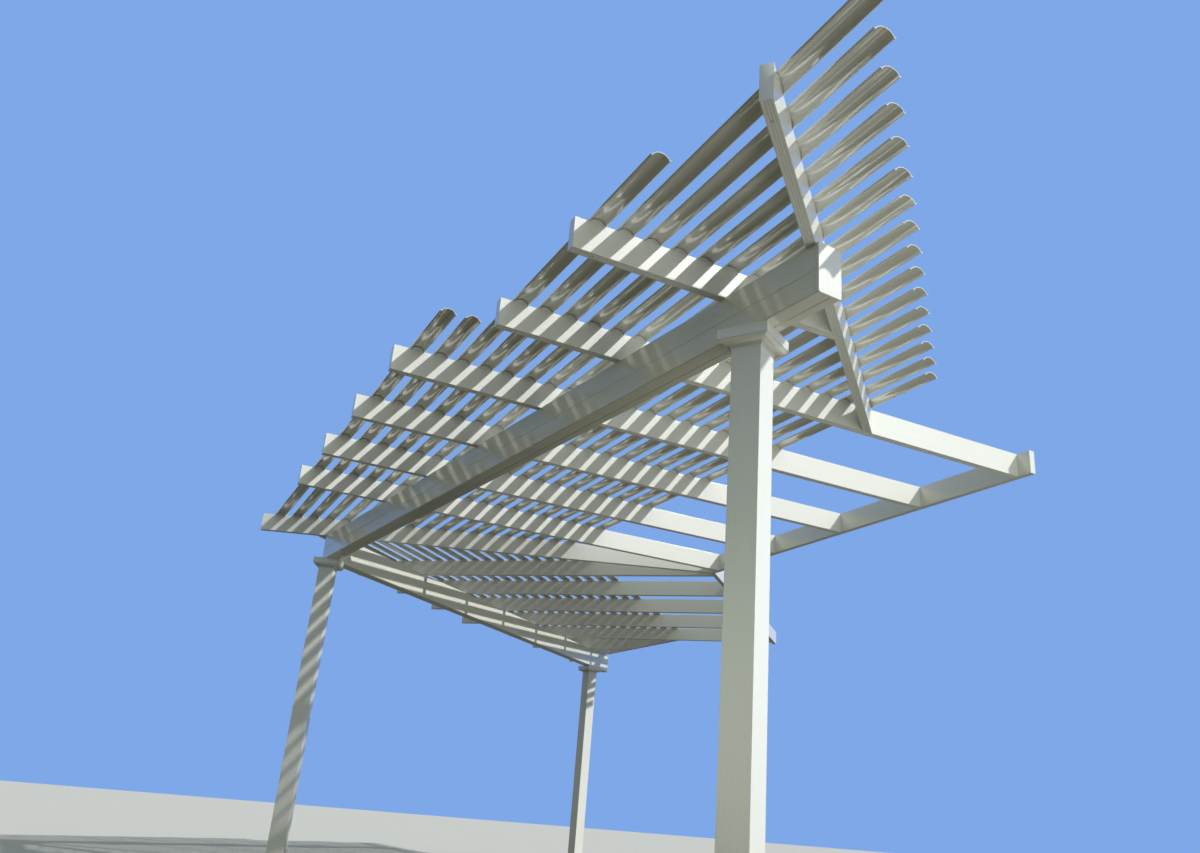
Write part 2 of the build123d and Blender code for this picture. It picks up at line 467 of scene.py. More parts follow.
class Graph:
    """Node tree of one material or of the world."""

    def __init__(self, owner: bpy.types.Material | bpy.types.World) -> None:
        """Start an empty tree.

        Args:
            owner: Material or world that the tree belongs to.
        """
        owner.use_nodes = True
        self.tree = owner.node_tree
        self.tree.nodes.clear()

    def add(
        self,
        kind: str,
        settings: dict[str, object],
        inputs: dict[str | int, object],
        output: str | int = 0,
    ) -> Value:
        """Add a node.

        Args:
            kind: Type of the node.
            settings: Its properties, which are set first.
            inputs: Values or links of its sockets, by name or number.
            output: Socket that is returned.

        Returns:
            The output socket.
        """
        node = self.tree.nodes.new(kind)
        for name, setting in settings.items():
            setattr(node, name, setting)
        for name, given in inputs.items():
            if isinstance(given, Value):
                self.tree.links.new(given.socket, node.inputs[name])
            elif isinstance(given, tuple) and node.inputs[name].type == "RGBA":
                node.inputs[name].default_value = (*given, 1.0)
            else:
                node.inputs[name].default_value = given
        return Value(self, node.outputs[output] if node.outputs else None)

    def strip(self) -> Value:
        """Place along an extrusion and round its section."""
        return self.add("ShaderNodeUVMap", {"uv_map": STRIP_MAP}, {})

    def place(self) -> Value:
        """Place on the piece."""
        return self.add("ShaderNodeTexCoord", {}, {}, "Object")

    def attribute(self, name: str) -> Value:
        """Number that the mesh keeps."""
        return self.add("ShaderNodeAttribute", {"attribute_name": name}, {}, "Fac")

    def mix(self, factor: Value, first: Value | Color, second: Value | Color) -> Value:
        """Blend of two colours."""
        settings = {"data_type": "RGBA", "clamp_factor": True}
        return self.add("ShaderNodeMix", settings, {0: factor, 6: first, 7: second}, 2)

    def ramp(self, value: Value, limits: Point) -> Value:
        """Value stretched so that the lower limit gives 0 and the upper one 1."""
        inputs = {"Value": value, "From Min": limits[0], "From Max": limits[1]}
        return self.add("ShaderNodeMapRange", {"clamp": True}, inputs)

    def bump(self, height: Value) -> Value:
        """Normal of a surface with this height in metres."""
        inputs = {"Strength": 1.0, "Distance": 1.0, "Height": height}
        return self.add("ShaderNodeBump", {}, inputs)


@dataclass(frozen=True)
class Mottle:
    """Soft noise, which says how much of a mark lies on each place."""

    scale: float
    detail: float = 3.0
    roughness: float = 0.5
    limits: Point | None = None     # noise that gives none and all of the mark
    stretch: Triple | None = None   # factors of the vector's parts

    def on(self, graph: Graph, vector: Value) -> Value:
        """Add the noise to a graph.

        Args:
            graph: Graph that takes the nodes.
            vector: Place on the surface.

        Returns:
            The share of the mark, from 0 to 1.
        """
        if self.stretch:
            settings = {"operation": "MULTIPLY"}
            vector = graph.add("ShaderNodeVectorMath", settings, {0: vector, 1: self.stretch})
        share = graph.add("ShaderNodeTexNoise", {}, {
            "Vector": vector,
            "Scale": self.scale,
            "Detail": self.detail,
            "Roughness": self.roughness,
        })
        return graph.ramp(share, self.limits) if self.limits else share


@dataclass(frozen=True)
class Finish:
    """Finish of a surface, as one Principled shader."""

    name: str

    def sockets(self, graph: Graph) -> dict[str | int, object]:
        """Values and links of the shader's sockets, which each kind of finish gives."""
        raise NotImplementedError

    def material(self) -> bpy.types.Material:
        """Make the material.

        Returns:
            The material, with its node tree filled.
        """
        material = bpy.data.materials.new(self.name)
        graph = Graph(material)
        shader = graph.add("ShaderNodeBsdfPrincipled", {}, self.sockets(graph))
        graph.add("ShaderNodeOutputMaterial", {}, {"Surface": shader})
        return material


@dataclass(frozen=True)
class VinylFinish(Finish):
    """White extruded vinyl: fine lines along the run, faint clouding, dust on what faces up and
    painted shade in the inner corners.
    """

    white: Color
    roughness: float
    roughness_spread: float = 0.10
    clouded: Color = (0.955, 0.965, 0.94)     # share of the white left in the clouds
    dusty: Color = (0.86, 0.85, 0.80)         # share of the white left under dust
    crevice_shaded: Color = (0.76, 0.76, 0.71)         # share of the white left in the crevices, as painted shade
    clouds: Mottle = Mottle(1.7, 4.0, 0.6, (0.42, 0.68))
    streaks: Mottle = Mottle(1.0, limits=(0.45, 0.75), stretch=(1.4, 38.0, 1.0))
    specks: Mottle = Mottle(55.0, 3.0, 0.7, (0.56, 0.74))
    drifts: Mottle = Mottle(6.0)
    cloud_tint: float = 0.6
    streak_tint: float = 0.4
    dust_tint: float = 0.55
    dusty_rise: Point = (0.15, 0.85)          # rise of the normal with no dust and with all
    least_drift: float = 0.35                 # dust that lies between the drifts
    least_speck: float = 0.6                  # dust that lies between the specks
    least_crevice_shade: float = 0.75                 # painted shade in a crevice outside the clouds
    dust_roughness: float = 0.25
    grime_roughness: float = 0.3
    line_count: float = 420.0                 # die lines to a metre round the section
    line_turns: float = 0.9                   # changes of a die line to a metre of the run
    line_height: float = 0.00006
    line_share: float = 0.5                   # of the uneven gloss that the lines give
    fine_detail: float = 2.0
    peel_scale: float = 240.0
    peel_height: float = 0.00004
    density: float = 1.7                      # index of refraction
    skin: float = 0.6                         # weight of a glossy skin
    skin_roughness: float = 0.08
    sawn_roughness: float = 0.0               # what a sawn end is rougher by, without its skin

    def toned(self, share: Color) -> Color:
        """The white, darkened by a share of each part."""
        return tuple(part * left for part, left in zip(self.white, share))

    def sockets(self, graph: Graph) -> dict[str | int, object]:
        """Add the nodes of the vinyl.

        Args:
            graph: Graph that takes them.

        Returns:
            Values and links of the shader's sockets.
        """
        strip, place = graph.strip(), graph.place()
        normal = graph.add("ShaderNodeNewGeometry", {}, {}, "Normal")
        rise = graph.add("ShaderNodeSeparateXYZ", {}, {0: normal}, 2)
        clouds = self.clouds.on(graph, place)
        drifts = self.drifts.on(graph, place).above(self.least_drift)
        specks = self.specks.on(graph, place).above(self.least_speck)
        dust = graph.ramp(rise, self.dusty_rise) * drifts * specks
        crevice = graph.attribute(CREVICE)

        tint = clouds * self.cloud_tint + self.streaks.on(graph, strip) * self.streak_tint
        tinted = graph.mix(tint, self.white, self.toned(self.clouded))
        dusted = graph.mix(dust * self.dust_tint, tinted, self.toned(self.dusty))
        # Painted shade in the crevices, stronger where the clouds are.
        crevice_shade = crevice * clouds.above(self.least_crevice_shade)

        die_lines = Mottle(1.0, self.fine_detail, stretch=(self.line_turns, self.line_count, 1.0))
        lines = die_lines.on(graph, strip)
        peel = Mottle(self.peel_scale, self.fine_detail).on(graph, place)
        uneven = lines * self.line_share + clouds * (1.0 - self.line_share)
        gloss = self.roughness + self.roughness_spread * uneven
        gloss = gloss + dust * self.dust_roughness + crevice * self.grime_roughness
        skin: Value | float = self.skin
        if self.sawn_roughness:
            sawn = graph.attribute(SAWN)
            gloss = gloss + sawn * self.sawn_roughness
            skin = (1.0 - sawn) * self.skin
        return {
            "Base Color": graph.mix(crevice_shade, dusted, self.toned(self.crevice_shaded)),
            "Roughness": gloss,
            "IOR": self.density,
            "Coat Weight": skin,
            "Coat Roughness": self.skin_roughness,
            "Normal": graph.bump(lines * self.line_height + peel * self.peel_height),
        }


@dataclass(frozen=True)
class SteelFinish(Finish):
    """Dull steel of the fasteners, with turning marks, a little tarnish and darker crevices."""

    bright: Color = (0.70, 0.69, 0.66)
    tarnished: Color = (0.42, 0.39, 0.34)
    tarnish: Mottle = Mottle(900.0, limits=(0.45, 0.7))
    marks: Mottle = Mottle(1.0, 2.0, stretch=(9000.0, 300.0, 1.0))
    mark_height: float = 0.00003
    tarnish_tint: float = 0.6
    crevice_tint: float = 0.4
    roughness: float = 0.28
    tarnish_roughness: float = 0.2

    def sockets(self, graph: Graph) -> dict[str | int, object]:
        """Add the nodes of the steel.

        Args:
            graph: Graph that takes them.

        Returns:
            Values and links of the shader's sockets.
        """
        tarnish = self.tarnish.on(graph, graph.place())
        # The head turns towards the tarnished colour in its crevices.
        tint = tarnish * self.tarnish_tint + graph.attribute(CREVICE) * self.crevice_tint
        return {
            "Base Color": graph.mix(tint, self.bright, self.tarnished),
            "Metallic": 1.0,
            "Roughness": self.roughness + tarnish * self.tarnish_roughness,
            "Normal": graph.bump(self.marks.on(graph, graph.strip()) * self.mark_height),
        }


@dataclass(frozen=True)
class PlainFloorFinish(Finish):
    """Pale matt floor, which throws less light up at the part than it shows."""

    pale: Color = (0.60, 0.60, 0.59)
    thrown: Color = (0.070, 0.063, 0.032)
    clouds: Mottle = Mottle(0.8, 4.0)
    clouded: float = 0.94                     # share of the pale colour left in the clouds
    roughness: float = 0.85

    def sockets(self, graph: Graph) -> dict[str | int, object]:
        """Add the nodes of the floor.

        Args:
            graph: Graph that takes them.

        Returns:
            Values and links of the shader's sockets.
        """
        clouds = self.clouds.on(graph, graph.place())
        shown = graph.mix(clouds, self.pale, tuple(part * self.clouded for part in self.pale))
        seen = graph.add("ShaderNodeLightPath", {}, {}, "Is Camera Ray")
        return {"Base Color": graph.mix(seen, self.thrown, shown), "Roughness": self.roughness}


GLOSSY_SKIN = {"skin": 0.8, "skin_roughness": 0.04}
POST_VINYL = VinylFinish(
    "post_vinyl", (0.83, 0.84, 0.82), 0.26, density=1.5, skin=0.3, skin_roughness=0.15,
)
MOULDING_VINYL = VinylFinish(
    "moulding_vinyl", (0.84, 0.845, 0.81), 0.07, 0.05,
    line_count=260.0, line_height=0.00002, peel_height=0.00001, density=1.6, **GLOSSY_SKIN,
)
# The beam's white is warmer and lighter than the posts': a painted tint that stands in for the
# yellow-green light on its faces.
BEAM_VINYL = VinylFinish(
    "beam_vinyl", (0.86, 0.87, 0.815), 0.10, 0.04, line_height=0.00003, density=1.75, **GLOSSY_SKIN,
)
# The rafters' white is lighter than the posts': painted light that lifts their lit and shaded
# faces, though the real vinyl is one white.
RAFTER_VINYL = VinylFinish(
    "rafter_vinyl", (0.88, 0.89, 0.87), 0.20, 0.08, line_height=0.00002, density=1.5, skin=0.3,
)
SLAT_VINYL = VinylFinish(
    "slat_vinyl", (0.84, 0.85, 0.82), 0.09, 0.04,
    line_count=160.0, line_height=0.000035, peel_height=0.000003, density=2.9,
    skin=1.0, skin_roughness=0.05, sawn_roughness=0.8,
)
LEDGER_VINYL = VinylFinish("ledger_vinyl", (0.82, 0.83, 0.81), 0.30)
CAP_VINYL = VinylFinish("cap_vinyl", (0.85, 0.855, 0.84), 0.20, line_count=60.0)
FASTENER_STEEL = SteelFinish("fastener_steel")


# The shared plan

@dataclass(frozen=True)
class Plan:
    """Sizes that several sub-assemblies share."""

    hip_angle: float = 67.5
    beam_angle: float = 5.1
    beam_reach: float = 5.970
    beam_bottom: float = 2.440
    beam_depth: float = 0.210
    beam_front_width: float = 0.068
    beam_back_width: float = 0.045
    wall_offset: float = 3.060
    ledger_thickness: float = 0.038
    post_size: float = 0.127
    post_inset: float = 0.435
    outer_post_turn: float = 31.0
    rafter_width: float = 0.0445
    rafter_depth: float = 0.140
    rafter_count: int = 6
    short_rafters: int = 2
    hip_to_rafter_gap: float = 0.066
    outer_rafter_inset: float = 0.572
    long_overhang: float = 0.567
    short_overhang: float = 0.286
    hip_overhang: float = 0.614
    end_rafter_angle: float = 133.0
    end_rafter_inset: float = 0.084
    end_rafter_overhang: float = 0.919
    edge_radius: float = 0.0018
    mitre_gap: float = 0.0006

    @property
    def beam_width(self) -> float:
        """Width of both members."""
        return self.beam_front_width + self.beam_back_width

    @property
    def beam_top(self) -> float:
        """Height of the beams' top, on which the rafters rest."""
        return self.beam_bottom + self.beam_depth

    @property
    def rafter_top(self) -> float:
        """Height of the rafters' top, on which the slats rest."""
        return self.beam_top + self.rafter_depth

    @property
    def ledger_face(self) -> float:
        """Distance from the corner post to the ledger's face."""
        return self.wall_offset - self.ledger_thickness

    @property
    def wall_stop(self) -> EndPlane:
        """Plane of the ledger's face."""
        return EndPlane(Vector((0.0, self.ledger_face, 0.0)), Vector((0.0, 1.0, 0.0)))

    @property
    def hip_normal(self) -> Vector:
        """Normal of the hip's upright plane, towards wing B."""
        return UP.cross(plan_direction(self.hip_angle))

    def hip_stop(self, gap: float) -> EndPlane:
        """Plane beside the hip's, at a gap from it in wing A."""
        return EndPlane(self.hip_normal * -gap, self.hip_normal)

    @property
    def end_rafter_start(self) -> Vector:
        """Outer end of the slanted rafter."""
        crossing = plan_direction(self.beam_angle) * (self.beam_reach - self.end_rafter_inset)
        return crossing - plan_direction(self.end_rafter_angle) * self.end_rafter_overhang

    @property
    def end_rafter_normal(self) -> Vector:
        """Normal of the slanted rafter's outer side."""
        return plan_direction(self.end_rafter_angle - 90)

    @property
    def outer_post(self) -> Vector:
        """Foot of wing A's outer post."""
        return plan_direction(self.beam_angle) * (self.beam_reach - self.post_inset)

    @property
    def landing_x(self) -> float:
        """Side of the last but one rafter, on which the slanted rafter lands."""
        return self.rafter_x(self.rafter_count - 2) + self.rafter_width / 2

    def rafter_x(self, number: int) -> float:
        """Centre line of a rafter.

        Args:
            number: Rafter, counted from the hip.

        Returns:
            Its distance from the corner post along wing A.
        """
        lean = math.radians(self.hip_angle)
        nearest = self.ledger_face / math.tan(lean) + self.rafter_width / 2 / math.sin(lean)
        nearest += self.hip_to_rafter_gap + self.rafter_width / 2
        beam_end = self.beam_reach * math.cos(math.radians(self.beam_angle))
        outermost = beam_end - self.outer_rafter_inset
        return nearest + (outermost - nearest) * number / (self.rafter_count - 1)

    def rafter_y(self, number: int) -> float:
        """Outer end of a rafter, counted from the hip."""
        is_short = number >= self.rafter_count - self.short_rafters
        return -self.short_overhang if is_short else -self.long_overhang


@dataclass
class Workshop:
    """Makes pieces of drafts and sets them on the frame."""

    plan: Plan
    materials: dict[str, bpy.types.Material] = field(default_factory=dict)

    def place(self, draft: Draft, name: str, finish: Finish, slot: str, node: str = "") -> None:
        """Make one piece, dress it and let it ride on the frame.

        Args:
            draft: Mesh of the piece.
            name: Name of the piece.
            finish: Its finish.
            slot: Material slot of the record; not used.
            node: Node that it stands for.
        """
        if finish.name not in self.materials:
            self.materials[finish.name] = finish.material()
        piece = draft.to_object(name)
        piece.data.materials.append(self.materials[finish.name])
        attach(piece, "root")
        if node:
            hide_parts(node)
        LOG.info("%s: %d faces, finish %s", name, len(draft.faces), finish.name)

    def place_in_wings(
        self, draft: Draft, name: str, finish: Finish, slot: str, node: str = "",
    ) -> None:
        """Make a piece of wing A and its mirror image in wing B.

        Args:
            draft: Mesh of wing A's piece.
            name: Name, with {} where the wing's letter goes.
            finish: Its finish.
            slot: Material slot of the record.
            node: Node that it stands for, with {} for the wing's letter.
        """
        for wing in Wing:
            mesh = draft if wing is Wing.A else draft.mirrored(self.plan.hip_normal)
            self.place(mesh, name.format(wing.value), finish, slot, node.format(wing.value))


@dataclass
class SubAssembly:
    """Pieces of one kind, which a workshop makes."""

    workshop: Workshop

    @property
    def plan(self) -> Plan:
        """Shared sizes."""
        return self.workshop.plan


# Posts, capitals and foot skirts

@dataclass
class PostSet(SubAssembly):
    """Three square posts, each with a moulded capital and a trim round its foot."""

    reeding: Reeding = Reeding(pitch=0.0084, line_width=0.0014)
    capital_overhang: float = 0.0455
    capital_block_height: float = 0.044
    crown_height: float = 0.036
    crown_fillet: float = 0.004
    cove_hollow: float = 0.005
    cove_steps: int = 12
    bead_count: int = 2
    bead_height: float = 0.0065
    bead_step: float = 0.0045
    bead_bulge: float = 0.0018
    bead_steps: int = 6
    skirt_thickness: float = 0.019
    skirt_height: float = 0.070
    skirt_bevel: float = 0.012
    least_bevel: float = 40.0       # turn at a bevel's edge from which it is rounded
    mitre_ease: float = 0.0006
    brad_radius: float = 0.0020
    brad_sides: int = 14
    # For each ring its share of the radius, its height and the depth of its recess.
    brad_profile: tuple[Triple, ...] = (
        (1.0, -0.0010, 0.0),
        (1.0, 0.0002, 0.0),
        (0.8, 0.0005, 0.0),
        (0.35, 0.0006, 0.0),
        (0.25, 0.0002, 0.0),
    )

    def build(self) -> None:
        """Build all three posts with their trims."""
        plan = self.plan
        turn = Matrix.Rotation(math.radians(plan.outer_post_turn), 4, "Z")
        near_frame = Matrix.Translation(plan.outer_post) @ turn
        corner_frame = Matrix.Rotation(math.radians(plan.hip_angle), 4, "Z")
        trim = "moulding_white"
        for name, node, make, finish, slot in (
            ("{}_post_dressed", "post_{}", self.post, POST_VINYL, "post_white"),
            ("{}_capital_dressed", "capital_{}", self.capital, MOULDING_VINYL, trim),
            ("{}_foot_skirt_dressed", "foot_skirt_{}", self.skirt, MOULDING_VINYL, trim),
            ("{}_crown_brads", "", self.brads, FASTENER_STEEL, trim),
        ):
            near = make(near_frame)
            for place, draft in (
                ("near", near),
                ("corner", make(corner_frame)),
                ("far", near.mirrored(plan.hip_normal)),
            ):
                self.workshop.place(draft, name.format(place), finish, slot, node.format(place))

    @staticmethod
    def quarters(place: Matrix) -> list[Matrix]:
        """Frames of a post's four faces."""
        turns = (Matrix.Rotation(math.radians(90 * quarter), 4, "Z") for quarter in range(4))
        return [place @ turn for turn in turns]

    def post(self, place: Matrix) -> Draft:
        """Reeded post from the floor to the beam.

        Args:
            place: Place and turn of the post.

        Returns:
            The post.
        """
        half = self.plan.post_size / 2
        corners = [(half, -half), (half, half), (-half, half), (-half, -half)]
        outline: list[Point] = []
        for corner, following in zip(corners, corners[1:] + corners[:1]):
            outline += self.reeding.face(corner, following)[:-1]
        outline = rounded(outline, 2 * self.plan.edge_radius)
        return Draft().add_loft([
            [place @ Vector((x, y, z)) for x, y in outline] for z in (0.0, self.plan.beam_bottom)
        ])

    def square_ring(self, outline: Sequence[Point], place: Matrix) -> Draft:
        """Moulding that goes round a post, mitred at its corners.

        Args:
            outline: Closed outline of the moulding, as distance from the post's axis and height.
            place: Place and turn of the post.

        Returns:
            The moulding.
        """
        return Draft().add_loft([
            [
                turn @ Vector((out, side, height))
                for turn in self.quarters(place)
                for side in (self.mitre_ease - out, out - self.mitre_ease)
            ]
            for out, height in outline
        ], ring_shaped=True)

    def capital(self, place: Matrix) -> Draft:
        """Capital: a block, a fillet, a cove, two beads and a fillet.

        Args:
            place: Place and turn of the post.

        Returns:
            The capital.
        """
        plan = self.plan
        fillet = self.crown_fillet
        face = plan.post_size / 2
        block_edge = face + self.capital_overhang
        block_bottom = plan.beam_bottom - self.capital_block_height
        bottom = block_bottom - self.crown_height
        bead_foot = face + fillet / 2
        bead_ends = [
            (bead_foot + number * self.bead_step, bottom + fillet + number * self.bead_height)
            for number in range(self.bead_count, -1, -1)
        ]
        cove_top = (block_edge - fillet, block_bottom - fillet)
        outline = rounded([
            (face, bottom),
            (face, plan.beam_bottom),
            (block_edge, plan.beam_bottom),
            (block_edge, block_bottom),
            (block_edge - fillet, block_bottom),
        ], plan.edge_radius, closed=False)
        outline += arc_points(cove_top, bead_ends[0], -self.cove_hollow, self.cove_steps)
        for upper, lower in zip(bead_ends, bead_ends[1:]):
            outline += arc_points(upper, lower, self.bead_bulge, self.bead_steps)[1:]
        outline.append((bead_foot, bottom))
        return self.square_ring(outline, place)

    def brads(self, place: Matrix) -> Draft:
        """One brad in the lowest bead of each face of a crown.

        Args:
            place: Place and turn of the post.

        Returns:
            The four brads.
        """
        plan = self.plan
        block_bottom = plan.beam_bottom - self.capital_block_height
        foot = Vector((plan.post_size / 2 + self.crown_fillet / 2, 0.0, block_bottom))
        foot.z += self.crown_fillet - self.crown_height
        bead = Vector((self.bead_step, 0.0, self.bead_height))
        slope = bead.normalized()
        outward = Vector((slope.z, 0.0, -slope.x))
        middle = foot + bead / 2 + outward * self.bead_bulge
        draft = Draft()
        for turn in self.quarters(place):
            heading = turn.to_3x3() @ outward
            profile = self.brad_profile
            draft.add_turned(turn @ middle, heading, profile, self.brad_radius, self.brad_sides)
        return draft

    def skirt(self, place: Matrix) -> Draft:
        """Trim round the foot of a post, bevelled at its top.

        Args:
            place: Place and turn of the post.

        Returns:
            The trim.
        """
        face = self.plan.post_size / 2
        edge = face + self.skirt_thickness
        outline = rounded([
            (face, 0.0),
            (face, self.skirt_height),
            (edge - self.skirt_bevel, self.skirt_height),
            (edge, self.skirt_height - self.skirt_bevel),
            (edge, 0.0),
        ], self.plan.edge_radius, least_turn=self.least_bevel)
        return self.square_ring(outline, place)


# Beams

@dataclass
class BeamSet(SubAssembly):
    """Beam of each wing: two members with a joint between them, and a cap on the free end."""

    reeding: Reeding = Reeding()
    edge_bevel: float = 0.005
    seam_height: float = 0.099
    seam_depth: float = 0.002
    seam_width: float = 0.003
    seam_ease: float = 0.0008
    cap_thickness: float = 0.004
    cap_wall: float = 0.0015
    cap_play: float = 0.0002
    cap_rim: float = 0.009
    cap_bevel: float = 0.0012
    cap_reeding: Reeding = Reeding(pitch=0.0100)
    cap_face_inset: float = 0.0004

    def build(self) -> None:
        """Build both beams."""
        plan = self.plan
        start = Vector((0.0, 0.0, plan.beam_bottom))
        hip = plan.hip_stop(plan.mitre_gap)
        joint = plan.beam_front_width - plan.beam_width / 2
        for name, width in (("front", plan.beam_front_width), ("back", plan.beam_back_width)):
            section = self.member_section(width)
            if name == "front":
                section = [(joint - out, up) for out, up in reversed(section)]
            else:
                section = [(joint + out, up) for out, up in section]
            draft = Draft().add_run(section, start, plan.beam_angle, hip, plan.beam_reach)
            node = "beam_{}_" + name
            self.workshop.place_in_wings(draft, node + "_reeded", BEAM_VINYL, "beam_white", node)
        name, node = "beam_cap_{}_moulded", "beam_cap_{}"
        self.workshop.place_in_wings(self.cap(), name, CAP_VINYL, "cap_white", node)

    def member_section(self, width: float) -> list[Point]:
        """Section of a member, from the joint at 0 to its exposed face.

        Args:
            width: Width of the member.

        Returns:
            Counter-clockwise outline, with a seam and reeds on the exposed face.
        """
        plan = self.plan
        low = self.seam_height - self.seam_width / 2
        high = self.seam_height + self.seam_width / 2
        seam = width - self.seam_depth
        return rounded([
            (0.0, self.edge_bevel),
            (self.edge_bevel, 0.0),
            (width - self.edge_bevel, 0.0),
            *self.reeding.face((width, self.edge_bevel), (width, low)),
            (seam, low + self.seam_ease),
            (seam, high - self.seam_ease),
            *self.reeding.face((width, high), (width, plan.beam_depth)),
            (0.0, plan.beam_depth),
        ], plan.edge_radius)

    def cap_outline(self, wall: float) -> list[Point]:
        """Outline round the beam's end.

        Args:
            wall: Thickness outside the beam.

        Returns:
            The corners, counter-clockwise, with the beam's bevels.
        """
        half = self.plan.beam_width / 2 + wall
        top = self.plan.beam_depth + min(wall, 0.0)
        return [
            (-half, self.edge_bevel - wall),
            (-half + self.edge_bevel, -wall),
            (half - self.edge_bevel, -wall),
            (half, self.edge_bevel - wall),
            (half, top),
            (-half, top),
        ]

    def cap(self) -> Draft:
        """Cap with a rim round the beam's sides and underside and an upright reeded face.

        Returns:
            The tray with the rim, and the face's plate.
        """
        plan = self.plan
        front = plan.beam_reach + self.cap_thickness
        tray = plan.beam_reach + self.cap_thickness / 2
        rim = plan.beam_reach - self.cap_rim
        ease = self.cap_bevel / 3
        start = Vector((0.0, 0.0, plan.beam_bottom))
        draft = Draft().add_steps(start, plan.beam_angle, (
            (plan.beam_reach, self.cap_play),
            (rim, self.cap_play),
            (rim, self.cap_wall),
            (tray - ease, self.cap_wall),
            (tray, self.cap_wall - ease),
        ), self.cap_outline)
        way = plan_direction(plan.beam_angle)
        half = plan.beam_width / 2 + self.cap_wall - self.cap_face_inset
        back = tray - self.cap_bevel / 2
        plate = [(back, -half), *self.cap_reeding.face((front, -half), (front, half)), (back, half)]
        foot, head = [], []
        for out, left in rounded(plate, self.cap_bevel):
            lift = max(0.0, abs(left) + self.edge_bevel - half)
            low = plan.beam_bottom + lift + self.cap_face_inset - self.cap_wall
            spot = way * out + UP.cross(way) * left
            foot.append(at_height(spot, low))
            head.append(at_height(spot, plan.beam_top))
        return draft.add_loft([foot, head])


# Rafters

